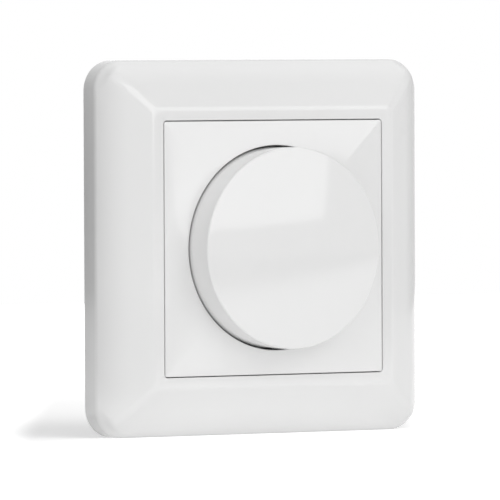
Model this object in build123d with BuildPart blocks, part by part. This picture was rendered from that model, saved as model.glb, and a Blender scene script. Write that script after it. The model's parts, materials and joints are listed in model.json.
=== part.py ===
from build123d import *
import math
import os

# Rotary dimmer switch for a 60 mm wall box, in mm.
# The wall is the plane Y = 0, the front faces -Y and +Z is up.
# Heights count forward from the wall, depths count back into the wall box.

# Frame
frame_width = 81.0
frame_height = 12.0
frame_corner = 6.5
frame_wall = 2.5
shoulder_height = 4.8
ridge_radius = 2.4
curve_run = 5.5
flank_slope = 26.0
flank_wall = 2.2
ledge_width = 2.45
ledge_ease = 0.55
collar_wall = 2.35
collar_corner = 1.5
collar_gap = 0.2
shelf_height = 8.5
shelf_width = 2.2
shelf_thickness = 1.6
rib_thickness = 1.2
rib_offset = 14.0
rib_lift = 1.0

# Centre plate
plate_width = 54.7
plate_gap = 0.3
plate_corner = 0.5
plate_edge = 0.25
plate_rise = 1.1
plate_wall = 1.8
plate_roof = 1.5
corner_sweep = 3.0
well_wall = 1.5
floor_thickness = 1.6
floor_gap = 0.5

# Knob
knob_radius = 21.7
knob_gap = 0.6
knob_proud = 8.2
knob_edge = 0.35
dome_rise = 1.3
knob_wall = 1.8
knob_roof = 2.2
skirt_gap = 0.7
hub_radius = 5.4
hub_gap = 0.2
socket_roof = 0.6
knob_rib = 1.2
knob_rib_drop = 4.5
knob_ribs = 4

# Shaft and its clip
shaft_radius = 3.0
shaft_clear = 0.05
shaft_flat = 1.5
flat_lead = 0.3
clip_space = 0.5
clip_thickness = 0.25
clip_bow = 0.15
clip_width = 3.4
clip_length = 5.2
drive_flats = 4.0
ring_width = 7.4
ring_thickness = 0.6
ring_slot = 4.4
ring_gap = 0.1
push_travel = 1.5

# Support plate and the wall box's screws
support_margin = 2.5
support_thickness = 1.2
support_chamfer = 10.0
box_screw_spacing = 60.0
slot_width = 4.0
slot_length = 7.0

# Nuts and washer on the threaded neck
neck_radius = 5.0
neck_clear = 0.1
thread_clear = 0.05
nut_flats = 14.0
nut_chamfer = 0.4
pot_nut_thickness = 2.2
plate_nut_thickness = 2.4
washer_width = 15.0
washer_thickness = 0.5
neck_proud = 0.8

# Potentiometer
pot_width = 16.0
flange_thickness = 1.2
lug_width = 2.6
lug_thickness = 1.6
lug_offset = 6.4
lug_clear = 0.2
leg_width = 4.0
leg_thickness = 0.8
leg_clear = 0.05
leg_lip = 0.6
leg_reach = 2.0
rotor_thickness = 1.6
rotor_gap = 0.2
drive_clear = 0.06
case_wall = 0.8
rotor_side_gap = 1.0
rotor_catch = 0.8
stop_height = 0.7
stop_width = 3.5
rotor_lug_height = 0.8
rotor_lug_width = 2.4
wiper_thickness = 0.25
wiper_height = 0.55
wiper_width = 3.0
wiper_edge = 0.3
wiper_inside = 3.4
finger_width = 1.0
contact_gap = 0.05
wafer_thickness = 0.8
wafer_gap = 0.2
tongue_width = 12.0
tongue_length = 3.0
pin_spacing = 4.0
pin_width = 1.2
pin_thickness = 0.4

# Push switch behind the potentiometer
switch_wall = 1.0
switch_floor = 0.8
plunger_post = 4.0
plunger_width = 9.0
plunger_thickness = 1.5
guide_gap = 0.3
blade_thickness = 0.25
blade_width = 3.6
blade_foot = 1.2
blade_bow = 2.4
pad_size = 2.4
pad_thickness = 0.4
pad_gap = 0.3
contact_leg = 0.8

# Housing and board
housing_width = 49.0
housing_chamfer = 10.0
housing_depth = 24.0
housing_wall = 1.6
housing_back = 1.8
housing_edge = 0.8
hook_width = 5.0
hook_offset = 12.0
hook_nose = 0.8
hook_height = 1.4
hook_clear = 0.1
board_thickness = 1.6
board_gap = 0.3
ledge_block = 2.2
ledge_block_width = 3.0
ledge_block_offset = 9.0
lead_size = 0.7
lead_hole_gap = 0.2
lead_proud = 1.0

# Power transistors on the back of the support plate
transistor_width = 6.6
transistor_length = 7.0
transistor_thickness = 2.3
transistor_pitch = 11.6
transistor_lead_pitch = 2.3
transistor_lead_drop = 1.4
pad_margin = 0.5
insulator_thickness = 0.3
strap_width = 4.5
strap_thickness = 0.8
strap_lip = 1.0
strap_gap = 0.3
strap_clear = 0.1

# Other components on the board
component_gap = 0.6
choke_width = 10.0
choke_height = 10.5
choke_flange = 1.2
choke_core_width = 4.8
choke_fill = 0.6
choke_corner = 2.0
choke_clear = 0.1
film_width = 5.0
film_length = 14.0
film_height = 9.8
film_round = 0.6
varistor_radius = 4.6
varistor_thickness = 3.4
varistor_lift = 1.0
varistor_lead_pitch = 5.0
fuse_width = 8.4
fuse_depth = 4.3
fuse_height = 7.7
fuse_column = 1.0
bulk_radius = 3.6
bulk_height = 10.5
bulk_column = -8.6
chip_size = (5.0, 4.0)
chip_thickness = 1.5
chip_lead = 0.5
chip_lead_reach = 1.0
chip_lead_pitch = 1.27
chip_leads = 4
chip_place = (0.0, 8.0)

# Screw terminals
poles = 3
pole_pitch = 6.5
block_gap = 0.25
block_clear = 2.25
block_wall = 1.8
chamber_height = 5.0
clamp_clear = 0.1
clamp_recess = 1.5
clamp_wall = 0.6
clamp_roof = 1.5
entry_size = 3.4
terminal_screw_radius = 1.5
terminal_screw_stand = 0.8
thread_gap = 0.05
terminal_bite = 1.2
bite_clear = 0.15
access_clear = 0.4

# Half width of the band in which an edge counts as lying at a height
pick_band = 0.01

# Places along the depth that follow from the sizes above
half_frame = frame_width / 2
opening = plate_width + 2 * plate_gap
half_ledge = opening / 2 + ledge_width
rim_height = frame_height + plate_rise
well_radius = knob_radius + knob_gap
pot_nut_front = support_thickness + washer_thickness + pot_nut_thickness
floor_back = pot_nut_front + floor_gap
floor_front = floor_back + floor_thickness
plate_nut_front = floor_front + plate_nut_thickness
neck_front = plate_nut_front + neck_proud
skirt_back = floor_front + push_travel + skirt_gap
hub_back = neck_front + push_travel + hub_gap
face_height = frame_height + knob_proud
roof_back = face_height - knob_roof
socket_end = roof_back - socket_roof
shaft_front = socket_end - hub_gap

case_bore = pot_width / 2 - case_wall
rotor_radius = case_bore - rotor_side_gap
case_neck = 2 * (rotor_radius - rotor_catch)
wiper_outside = rotor_radius - wiper_edge

ring_front_depth = flange_thickness + ring_gap
neck_depth = ring_front_depth + ring_thickness + push_travel + ring_gap
rotor_front_depth = neck_depth + rotor_gap
rotor_back_depth = rotor_front_depth + rotor_thickness
case_back_depth = rotor_back_depth + wiper_height + contact_gap
wafer_back_depth = case_back_depth + wafer_thickness
shaft_back_depth = case_back_depth - rotor_gap
head_front_depth = wafer_back_depth + contact_gap
head_back_depth = head_front_depth + plunger_thickness
blade_front_depth = head_back_depth + contact_gap
middle_pad_depth = blade_front_depth + blade_thickness + push_travel + contact_gap
outer_pad_depth = blade_front_depth + blade_bow + blade_thickness
cavity_floor_depth = outer_pad_depth + pad_thickness
board_front_depth = cavity_floor_depth + switch_floor
board_back_depth = board_front_depth + board_thickness
cavity_back_depth = housing_depth - housing_back
lead_end_depth = board_back_depth + lead_proud

housing_reach = (housing_width - housing_chamfer) * math.sqrt(0.5)
half_housing = housing_width / 2
wall_inside = half_housing - housing_wall

transistor_top = wall_inside - component_gap - pad_margin
transistor_base = transistor_top - transistor_length
transistor_middle = transistor_base + transistor_length / 2
transistor_lead_height = transistor_base - transistor_lead_drop
transistor_columns = [-transistor_pitch / 2, transistor_pitch / 2]
transistor_lead_places = [
    (column + lead, transistor_lead_height)
    for column in transistor_columns
    for lead in (-transistor_lead_pitch, 0, transistor_lead_pitch)
]
tongue_end = -(pot_width / 2 + tongue_length)
varistor_middle = board_front_depth - varistor_lift - varistor_radius
block_bottom = block_gap - wall_inside
block_top = tongue_end - block_clear
block_length = block_top - block_bottom
block_back_depth = cavity_back_depth - block_gap
chamber_front = block_back_depth - chamber_height
chamber_length = block_length - block_wall
chamber_top = block_bottom + chamber_length
clamp_inside = 2 * (terminal_screw_radius + bite_clear)
clamp_width = clamp_inside + 2 * clamp_wall
chamber_width = clamp_width + 2 * clamp_clear
clamp_top = chamber_top - clamp_clear
clamp_length = chamber_length - clamp_clear - clamp_recess
clamp_middle = clamp_top - clamp_length / 2
window_front = chamber_front + clamp_clear + clamp_wall
clamp_back = block_back_depth - clamp_clear
window_back = clamp_back - clamp_roof
pole_columns = [(i - (poles - 1) / 2) * pole_pitch for i in range(poles)]
pin_columns = [-pin_spacing, 0.0, pin_spacing]
leg_outside = pot_width / 2 + leg_clear + leg_thickness
choke_place = (-(leg_outside + wall_inside) / 2, 0)
film_place = (leg_outside + component_gap + film_width / 2, 0)
varistor_place = (wall_inside - component_gap - varistor_thickness / 2, 0)
lower_row = (tongue_end - wall_inside) / 2
fuse_place = (fuse_column, lower_row)
bulk_place = (bulk_column, lower_row)
switch_inside = pot_width - 2 * switch_wall
blade_span = switch_inside - pad_size - 2 * pad_gap

# Section planes through the knob's axis, level and upright: up is the height
SECTION = Plane(origin=(0, 0, 0), x_dir=(1, 0, 0), z_dir=(0, 0, -1))
UPRIGHT_SECTION = Plane(origin=(0, 0, 0), x_dir=(0, 0, 1), z_dir=(1, 0, 0))
QUARTER_TURN = 90


def front(height):
    """Plane parallel to the wall at a height in front of it, facing the viewer."""
    return Plane.XZ.offset(height)


def housing_outline(inset):
    """Square with cut corners, moved in by an inset on every side."""
    half = housing_width / 2 - inset
    cut = 2 * half - math.sqrt(2) * (housing_reach - inset)
    outline = Rectangle(2 * half, 2 * half)
    chamfer(outline.vertices(), cut)


def round_rim(radius):
    """Circle in eight arcs, so that its ends line up with a square's rounded corners."""
    for quarter in range(4):
        corner = (quarter - 0.5) * QUARTER_TURN
        CenterArc((0, 0), radius, corner - corner_sweep / 2, corner_sweep)
        CenterArc((0, 0), radius, corner + corner_sweep / 2, QUARTER_TURN - corner_sweep)


def edges_at(piece, height):
    """Edges of a piece that lie in the plane parallel to the wall at a height."""
    return piece.edges().filter_by_position(Axis.Y, -height - pick_band, -height + pick_band)


def crossed(profile):
    """Body that has the same profile in its level and its upright section."""
    with BuildPart() as body:
        for plane, mode in ((SECTION, Mode.ADD), (UPRIGHT_SECTION, Mode.INTERSECT)):
            with BuildSketch(plane):
                add(profile)
            extrude(amount=half_frame, both=True, mode=mode)
    return body.part


def save(piece, name):
    piece.part.label = name
    export_step(piece.part, f"parts/{name}.step")


os.makedirs("parts", exist_ok=True)

# Frame in section: straight side, an arc from the shoulder and a straight slope up to the ledge
slope = math.radians(flank_slope)
bend_half = half_frame - curve_run
bend_height = frame_height - (bend_half - half_ledge) * math.tan(slope)
with BuildSketch() as frame_profile:
    with BuildLine():
        for side in (-1, 1):
            shoulder = (side * half_frame, shoulder_height)
            bend = (side * bend_half, bend_height)
            Line((side * half_frame, 0), shoulder)
            TangentArc(bend, shoulder, tangent=(side * math.cos(slope), -math.sin(slope)))
            Line(bend, (side * half_ledge, frame_height))
        Line((-half_ledge, frame_height), (half_ledge, frame_height))
        Line((-half_frame, 0), (half_frame, 0))
    make_face()

# Space behind the flank, between the outer wall and the collar, with the ribs left standing
collar_half = opening / 2 + collar_wall
hollow_half = half_frame - frame_wall
hollow_bend_half = bend_half - flank_wall * math.sin(slope)
hollow_bend_height = bend_height - flank_wall * math.cos(slope)
hollow_shoulder = shoulder_height - flank_wall * math.cos(slope)
half_hollow = [
    (hollow_half, 0),
    (hollow_half, hollow_shoulder),
    (hollow_bend_half, hollow_bend_height),
    (collar_half, frame_height - flank_wall),
]
with BuildSketch() as hollow_profile:
    with BuildLine():
        Polyline(*half_hollow, *[(-across, height) for across, height in reversed(half_hollow)], close=True)
    make_face()
with BuildPart() as frame_hollow:
    add(crossed(hollow_profile.sketch))
    fillet(frame_hollow.edges().filter_by(Axis.Y), frame_corner - frame_wall)
    with BuildSketch(front(0)):
        RectangleRounded(2 * collar_half, 2 * collar_half, collar_corner)
    extrude(amount=frame_height, mode=Mode.SUBTRACT)
    with BuildSketch(front(support_thickness + rib_lift)):
        with GridLocations(2 * rib_offset, 0, 2, 1):
            Rectangle(rib_thickness, frame_width)
        with GridLocations(0, 2 * rib_offset, 1, 2):
            Rectangle(frame_width, rib_thickness)
    extrude(amount=frame_height, mode=Mode.SUBTRACT)

# The profile crossed with itself and cut to the rounded square, with its shoulders and mitres rounded
with BuildPart() as frame:
    add(crossed(frame_profile.sketch))
    with BuildSketch(front(0)):
        RectangleRounded(frame_width, frame_width, frame_corner)
    extrude(amount=frame_height, mode=Mode.INTERSECT)
    flank_band = (pick_band - frame_height, pick_band - shoulder_height)
    above_wall = frame.edges().filter_by_position(Axis.Y, *flank_band)
    fillet(above_wall - edges_at(frame, bend_height), ridge_radius)
    chamfer(frame.faces().sort_by(Axis.Y)[0].edges(), ledge_ease)
    with BuildSketch(front(frame_height)):
        RectangleRounded(opening, opening, plate_corner + plate_gap)
    extrude(amount=shelf_height - frame_height, mode=Mode.SUBTRACT)
    with BuildSketch(front(0)):
        Rectangle(opening - 2 * shelf_width, opening - 2 * shelf_width)
    extrude(amount=frame_height, mode=Mode.SUBTRACT)
    with BuildSketch(front(0)):
        Rectangle(opening, opening)
    extrude(amount=shelf_height - shelf_thickness, mode=Mode.SUBTRACT)
    with BuildSketch(front(0)):
        RectangleRounded(2 * hollow_half, 2 * hollow_half, frame_corner - frame_wall)
    extrude(amount=support_thickness + collar_gap, mode=Mode.SUBTRACT)
    add(frame_hollow.part, mode=Mode.SUBTRACT)
save(frame, "frame")

# Plate: straight edges that run out into the round rim of the knob's well
with BuildPart() as centre_plate:
    with BuildSketch(front(shelf_height)):
        RectangleRounded(plate_width, plate_width, plate_corner)
    extrude(amount=frame_height - shelf_height)
    with BuildSketch(front(frame_height)):
        RectangleRounded(plate_width, plate_width, plate_corner)
    with BuildSketch(front(rim_height)):
        with BuildLine():
            round_rim(well_radius)
        make_face()
    loft(ruled=True)
    with BuildSketch(front(shelf_height)):
        Rectangle(plate_width - 2 * plate_wall, plate_width - 2 * plate_wall)
    extrude(amount=frame_height - plate_roof - shelf_height, mode=Mode.SUBTRACT)
    with BuildSketch(front(floor_back)):
        Circle(well_radius + well_wall)
    extrude(amount=frame_height - floor_back)
    with BuildSketch(front(floor_front)):
        Circle(well_radius)
    extrude(amount=rim_height - floor_front, mode=Mode.SUBTRACT)
    with BuildSketch(front(floor_back)):
        Circle(neck_radius + neck_clear)
    extrude(amount=floor_thickness, mode=Mode.SUBTRACT)
    chamfer(edges_at(centre_plate, frame_height), plate_edge)
save(centre_plate, "centre_plate")

# Knob: domed cap with a socket for the shaft and ribs between the socket and the skirt
skirt_inside = knob_radius - knob_wall
crown_height = face_height + dome_rise
dome_radius = (knob_radius**2 + dome_rise**2) / (2 * dome_rise)
with BuildPart() as knob:
    with BuildSketch(front(skirt_back)):
        Circle(knob_radius)
    extrude(amount=crown_height - skirt_back)
    with Locations((0, dome_radius - crown_height, 0)):
        Sphere(dome_radius, mode=Mode.INTERSECT)
    chamfer(edges_at(knob, face_height), knob_edge)
    with BuildSketch(front(skirt_back)):
        Circle(skirt_inside)
    extrude(amount=roof_back - skirt_back, mode=Mode.SUBTRACT)
    with BuildSketch(front(hub_back)):
        Circle(hub_radius)
    extrude(amount=roof_back - hub_back)
    with BuildSketch(front(roof_back - knob_rib_drop)):
        with PolarLocations((hub_radius + skirt_inside) / 2, knob_ribs):
            Rectangle(skirt_inside - hub_radius + knob_rib, knob_rib)
    extrude(amount=knob_rib_drop)
    with BuildSketch(front(hub_back)):
        Circle(shaft_radius + shaft_clear)
        with Locations((shaft_flat + clip_space + shaft_radius, 0)):
            Rectangle(2 * shaft_radius, 4 * shaft_radius, mode=Mode.SUBTRACT)
    extrude(amount=socket_end - hub_back, mode=Mode.SUBTRACT)
save(knob, "knob")

# Bowed leaf that presses the flat of the shaft against the socket
clip_middle = (hub_back + socket_end) / 2
clip_inside = shaft_flat + contact_gap
with BuildPart() as knob_clip:
    with BuildSketch(SECTION):
        with BuildLine():
            for across in (clip_inside, clip_inside + clip_thickness):
                ThreePointArc(
                    (across + clip_bow, clip_middle - clip_length / 2),
                    (across, clip_middle),
                    (across + clip_bow, clip_middle + clip_length / 2),
                )
            for end in (clip_middle - clip_length / 2, clip_middle + clip_length / 2):
                Line((clip_inside + clip_bow, end), (clip_inside + clip_bow + clip_thickness, end))
        make_face()
    extrude(amount=clip_width / 2, both=True)
save(knob_clip, "knob_clip")


def threaded_nut(back_height, thickness):
    """Hexagon nut on the neck, with its front corners eased."""
    with BuildPart() as nut:
        with BuildSketch(front(back_height)):
            RegularPolygon(nut_flats / 2, 6, major_radius=False)
            Circle(neck_radius + thread_clear, mode=Mode.SUBTRACT)
        extrude(amount=thickness)
        chamfer(nut.faces().sort_by(Axis.Y)[0].outer_wire().edges(), nut_chamfer)
    return nut


save(threaded_nut(floor_front, plate_nut_thickness), "plate_nut")
save(threaded_nut(support_thickness + washer_thickness, pot_nut_thickness), "pot_nut")

with BuildPart() as pot_washer:
    with BuildSketch(front(support_thickness)):
        Rectangle(washer_width, washer_width)
        Circle(neck_radius + neck_clear, mode=Mode.SUBTRACT)
    extrude(amount=washer_thickness)
save(pot_washer, "pot_washer")

# Support plate on the wall: slots on both axes for the box's screws, holes for the hooks and the strap
support_width = frame_width - 2 * (frame_wall + support_margin)
hook_slot = housing_wall + hook_nose + 2 * hook_clear
insulator_width = transistor_pitch + transistor_width + 2 * pad_margin
strap_inside = insulator_width / 2 + strap_gap
with BuildPart() as support_plate:
    with BuildSketch(front(0)):
        blank = Rectangle(support_width, support_width)
        chamfer(blank.vertices(), support_chamfer)
        with GridLocations(box_screw_spacing, 0, 2, 1):
            SlotOverall(slot_length, slot_width, mode=Mode.SUBTRACT)
        with GridLocations(0, box_screw_spacing, 1, 2):
            SlotOverall(slot_length, slot_width, rotation=90, mode=Mode.SUBTRACT)
        Circle(neck_radius + neck_clear, mode=Mode.SUBTRACT)
        with Locations((0, lug_offset)):
            Rectangle(lug_width + 2 * lug_clear, lug_thickness + 2 * lug_clear, mode=Mode.SUBTRACT)
        with GridLocations(2 * half_housing - hook_slot + 2 * hook_clear, 2 * hook_offset, 2, 2):
            Rectangle(hook_slot, hook_width + 2 * hook_clear, mode=Mode.SUBTRACT)
        with Locations((0, transistor_middle)):
            with GridLocations(2 * strap_inside + strap_thickness, 0, 2, 1):
                Rectangle(
                    strap_thickness + 2 * strap_clear, strap_width + 2 * strap_clear, mode=Mode.SUBTRACT
                )
    extrude(amount=support_thickness)
save(support_plate, "support_plate")

# Potentiometer flange with its threaded neck, a lug against turning and two legs crimped behind the wafer
leg_end_depth = wafer_back_depth + leg_reach
leg_span = pot_width + 2 * leg_clear + leg_thickness
with BuildPart() as pot_bushing:
    with BuildSketch(front(0)):
        Rectangle(pot_width, pot_width)
        Rectangle(leg_span + leg_thickness, leg_width)
    extrude(amount=-flange_thickness)
    with BuildSketch(front(0)):
        with GridLocations(leg_span, 0, 2, 1):
            Rectangle(leg_thickness, leg_width)
    extrude(amount=-leg_end_depth)
    with BuildSketch(front(-leg_end_depth)):
        with GridLocations(leg_span - leg_lip, 0, 2, 1):
            Rectangle(leg_thickness + leg_lip, leg_width)
    extrude(amount=leg_thickness)
    with BuildSketch(front(0)):
        Circle(neck_radius)
    extrude(amount=neck_front)
    with BuildSketch(front(0)):
        with Locations((0, lug_offset)):
            Rectangle(lug_width, lug_thickness)
    extrude(amount=support_thickness - lug_clear)
    with BuildSketch(front(neck_front)):
        Circle(shaft_radius + shaft_clear)
    extrude(amount=-(neck_front + flange_thickness), mode=Mode.SUBTRACT)
save(pot_bushing, "pot_bushing")

# Shaft: flat for the knob in front, two slots for its ring, and two flats that drive the rotor behind
drive_front_depth = ring_front_depth + ring_thickness
with BuildPart() as shaft:
    with BuildSketch(front(-shaft_back_depth)):
        Circle(shaft_radius)
    extrude(amount=shaft_back_depth + shaft_front)
    with BuildSketch(front(hub_back - flat_lead)):
        with Locations((shaft_flat + shaft_radius, 0)):
            Rectangle(2 * shaft_radius, 4 * shaft_radius)
    extrude(amount=shaft_front - hub_back + flat_lead, mode=Mode.SUBTRACT)
    with BuildSketch(front(-ring_front_depth)):
        with GridLocations(ring_slot + 2 * shaft_radius, 0, 2, 1):
            Rectangle(2 * shaft_radius, 4 * shaft_radius)
    extrude(amount=-ring_thickness, mode=Mode.SUBTRACT)
    with BuildSketch(front(-drive_front_depth)):
        with GridLocations(drive_flats + 2 * shaft_radius, 0, 2, 1):
            Rectangle(2 * shaft_radius, 4 * shaft_radius)
    extrude(amount=drive_front_depth - shaft_back_depth, mode=Mode.SUBTRACT)
save(shaft, "shaft")

# Fork that slides into the shaft's two slots from above
fork_end = shaft_radius + shaft_clear
with BuildPart() as shaft_ring:
    with BuildSketch(front(-ring_front_depth)):
        Rectangle(ring_width, ring_width)
        with Locations((0, (fork_end - ring_width / 2) / 2)):
            Rectangle(ring_slot + 2 * shaft_clear, fork_end + ring_width / 2, mode=Mode.SUBTRACT)
    extrude(amount=shaft_clear - ring_thickness)
save(shaft_ring, "shaft_ring")

# Potentiometer case: a neck that keeps the rotor back, and a stop for the rotor's lug at the bottom
with BuildPart() as pot_case:
    with BuildSketch(front(-flange_thickness)):
        Rectangle(pot_width, pot_width)
        Rectangle(case_neck, case_neck, mode=Mode.SUBTRACT)
    extrude(amount=flange_thickness - case_back_depth)
    with BuildSketch(front(-neck_depth)):
        Circle(case_bore)
        with Locations((0, -case_bore)):
            Rectangle(stop_width, 2 * stop_height, mode=Mode.SUBTRACT)
    extrude(amount=neck_depth - case_back_depth, mode=Mode.SUBTRACT)
save(pot_case, "pot_case")

with BuildPart() as wiper_rotor:
    with BuildSketch(front(-rotor_front_depth)):
        Circle(rotor_radius)
        with Locations((0, rotor_radius)):
            Rectangle(rotor_lug_width, 2 * rotor_lug_height)
    extrude(amount=-rotor_thickness)
    with BuildSketch(front(-rotor_front_depth)):
        Circle(shaft_radius + drive_clear)
        Rectangle(drive_flats + 2 * drive_clear, 4 * shaft_radius, mode=Mode.INTERSECT)
    extrude(amount=-rotor_thickness, mode=Mode.SUBTRACT)
save(wiper_rotor, "wiper_rotor")

# Wiper: strip on the rotor with a finger that bows out to the track
wiper_tip_depth = rotor_back_depth + wiper_height
wiper_middle = (wiper_outside + wiper_inside) / 2
with BuildPart() as wiper_contact:
    with BuildSketch(front(-rotor_back_depth)):
        with Locations((0, wiper_middle)):
            Rectangle(wiper_width, wiper_outside - wiper_inside)
    extrude(amount=-wiper_thickness)
    with BuildSketch(Plane.YZ):
        with BuildLine():
            finger_root = (rotor_back_depth, wiper_outside)
            finger_end = (rotor_back_depth, wiper_inside)
            ThreePointArc(finger_root, (wiper_tip_depth, wiper_middle), finger_end)
            Line(finger_root, finger_end)
        make_face()
    extrude(amount=finger_width / 2, both=True)
save(wiper_contact, "wiper_contact")

# Wafer with the resistance track; the shaft's end passes through it when pushed
wafer_hole = 2 * (shaft_radius + wafer_gap)
with BuildPart() as track_wafer:
    with BuildSketch(front(-case_back_depth)):
        Rectangle(pot_width, pot_width)
        with Locations((0, -(pot_width + tongue_length) / 2)):
            Rectangle(tongue_width, tongue_length)
        Rectangle(wafer_hole, wafer_hole, mode=Mode.SUBTRACT)
    extrude(amount=-wafer_thickness)
save(track_wafer, "track_wafer")

# Three terminals on the wafer's tongue, bent back through the board
pin_top = tongue_end + tongue_length - pin_thickness
with BuildPart() as pot_pins:
    for column in pin_columns:
        with BuildSketch(Plane.YZ.offset(column)):
            with BuildLine():
                Polyline(
                    (wafer_back_depth, pin_top),
                    (wafer_back_depth + pin_thickness, pin_top),
                    (wafer_back_depth + pin_thickness, tongue_end + pin_thickness),
                    (lead_end_depth, tongue_end + pin_thickness),
                    (lead_end_depth, tongue_end),
                    (wafer_back_depth, tongue_end),
                    close=True,
                )
            make_face()
        extrude(amount=pin_width / 2, both=True)
save(pot_pins, "pot_pins")

# Push switch: case, plunger, the bowed blade that returns it and makes the contact, and the fixed contacts
contact_columns = [-blade_span / 2, 0, blade_span / 2]
contact_hole = contact_leg + 2 * lead_hole_gap
with BuildPart() as switch_case:
    with BuildSketch(front(-wafer_back_depth)):
        Rectangle(pot_width, pot_width)
    extrude(amount=wafer_back_depth - board_front_depth)
    with BuildSketch(front(-wafer_back_depth)):
        Rectangle(switch_inside, switch_inside)
    extrude(amount=wafer_back_depth - cavity_floor_depth, mode=Mode.SUBTRACT)
    with BuildSketch(front(-cavity_floor_depth)):
        with Locations(*[(column, 0) for column in contact_columns]):
            Rectangle(contact_hole, contact_hole)
    extrude(amount=-switch_floor, mode=Mode.SUBTRACT)
    with BuildSketch(front(-leg_end_depth - leg_clear)):
        with GridLocations(pot_width, 0, 2, 1):
            Rectangle(2 * leg_lip, leg_width + 2 * leg_clear)
    extrude(amount=leg_thickness + 2 * leg_clear, mode=Mode.SUBTRACT)
save(switch_case, "switch_case")

with BuildPart() as switch_plunger:
    with BuildSketch(front(-shaft_back_depth - contact_gap)):
        Rectangle(plunger_post, plunger_post)
    extrude(amount=shaft_back_depth + contact_gap - head_front_depth)
    with BuildSketch(front(-head_front_depth)):
        Rectangle(plunger_width, switch_inside - 2 * guide_gap)
    extrude(amount=-plunger_thickness)
save(switch_plunger, "switch_plunger")

# Blade in section: an arch whose two flat feet stand on the outer contacts
arch_half = (blade_span - blade_foot) / 2
foot_end = (blade_span + blade_foot) / 2
with BuildPart() as contact_blade:
    with BuildSketch(SECTION):
        with BuildLine():
            for height in (-blade_front_depth, -blade_front_depth - blade_thickness):
                ThreePointArc((-arch_half, height - blade_bow), (0, height), (arch_half, height - blade_bow))
                for side in (-1, 1):
                    Line((side * arch_half, height - blade_bow), (side * foot_end, height - blade_bow))
            for side in (-1, 1):
                Line(
                    (side * foot_end, -blade_front_depth - blade_bow),
                    (side * foot_end, -blade_front_depth - blade_bow - blade_thickness),
                )
        make_face()
    extrude(amount=blade_width / 2, both=True)
save(contact_blade, "contact_blade")

with BuildPart() as fixed_contacts:
    for column, depth in zip(contact_columns, (outer_pad_depth, middle_pad_depth, outer_pad_depth)):
        with BuildSketch(front(-depth)):
            with Locations((column, 0)):
                Rectangle(pad_size, pad_size)
        extrude(amount=-pad_thickness)
        with BuildSketch(front(-depth)):
            with Locations((column, 0)):
                Rectangle(contact_leg, contact_leg)
        extrude(amount=depth - lead_end_depth)
save(fixed_contacts, "fixed_contacts")

# Housing in the wall box: hooks over the support plate, blocks under the board, wire and screw access
window_middle = (window_front + window_back) / 2
hook_seat = support_thickness + hook_clear
access_width = 2 * (terminal_screw_radius + access_clear)
with BuildPart() as housing:
    with BuildSketch(front(0)):
        housing_outline(0)
    extrude(amount=-housing_depth)
    chamfer(housing.faces().sort_by(Axis.Y)[-1].edges(), housing_edge)
    with BuildSketch(front(0)):
        housing_outline(housing_wall)
    extrude(amount=-cavity_back_depth, mode=Mode.SUBTRACT)
    for row in (-hook_offset, hook_offset):
        with BuildSketch(SECTION.offset(row)):
            for side in (-1, 1):
                with BuildLine():
                    Polyline(
                        (side * wall_inside, 0),
                        (side * half_housing, 0),
                        (side * half_housing, hook_seat),
                        (side * (half_housing + hook_nose), hook_seat),
                        (side * half_housing, hook_seat + hook_height),
                        (side * wall_inside, hook_seat + hook_height),
                        close=True,
                    )
                make_face()
        extrude(amount=hook_width / 2, both=True)
    with BuildSketch(front(-board_back_depth)):
        with GridLocations(2 * wall_inside - ledge_block, 2 * ledge_block_offset, 2, 2):
            Rectangle(ledge_block, ledge_block_width)
    extrude(amount=board_back_depth - cavity_back_depth)
    with BuildSketch(Plane.XY.offset(-half_housing)):
        with Locations(*[(column, window_middle) for column in pole_columns]):
            Rectangle(entry_size, entry_size)
    extrude(amount=housing_wall, mode=Mode.SUBTRACT)
    with BuildSketch(front(-housing_depth)):
        with Locations(*[(column, clamp_middle) for column in pole_columns]):
            Rectangle(access_width, access_width)
    extrude(amount=housing_back, mode=Mode.SUBTRACT)
save(housing, "housing")

# Board across the housing, with a hole for each lead
with BuildPart() as circuit_board:
    with BuildSketch(front(-board_front_depth)):
        housing_outline(housing_wall + board_gap)
        with Locations(*[(column, tongue_end + pin_thickness / 2) for column in pin_columns]):
            Rectangle(pin_width + 2 * lead_hole_gap, pin_thickness + 2 * lead_hole_gap, mode=Mode.SUBTRACT)
        with Locations(*[(column, 0) for column in contact_columns]):
            Rectangle(contact_hole, contact_hole, mode=Mode.SUBTRACT)
        with Locations(*transistor_lead_places):
            Rectangle(lead_size + 2 * lead_hole_gap, lead_size + 2 * lead_hole_gap, mode=Mode.SUBTRACT)
    extrude(amount=-board_thickness)
save(circuit_board, "circuit_board")


def power_transistor(column):
    """Flat package against the insulating pad, with three leads bent back through the board."""
    lead_depth = insulator_thickness + transistor_thickness / 2
    with BuildPart() as transistor:
        with BuildSketch(front(-insulator_thickness)):
            with Locations((column, transistor_middle)):
                Rectangle(transistor_width, transistor_length)
        extrude(amount=-transistor_thickness)
        for lead in (-transistor_lead_pitch, 0, transistor_lead_pitch):
            with BuildSketch(Plane.YZ.offset(column + lead)):
                with BuildLine():
                    Polyline(
                        (lead_depth - lead_size / 2, transistor_base),
                        (lead_depth + lead_size / 2, transistor_base),
                        (lead_depth + lead_size / 2, transistor_lead_height + lead_size / 2),
                        (lead_end_depth, transistor_lead_height + lead_size / 2),
                        (lead_end_depth, transistor_lead_height - lead_size / 2),
                        (lead_depth - lead_size / 2, transistor_lead_height - lead_size / 2),
                        close=True,
                    )
                make_face()
            extrude(amount=lead_size / 2, both=True)
    return transistor


save(power_transistor(transistor_columns[0]), "transistor_left")
save(power_transistor(transistor_columns[1]), "transistor_right")

with BuildPart() as insulating_pad:
    with BuildSketch(front(0)):
        with Locations((0, transistor_middle)):
            Rectangle(insulator_width, transistor_length + 2 * pad_margin)
    extrude(amount=-insulator_thickness)
save(insulating_pad, "insulating_pad")

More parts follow.
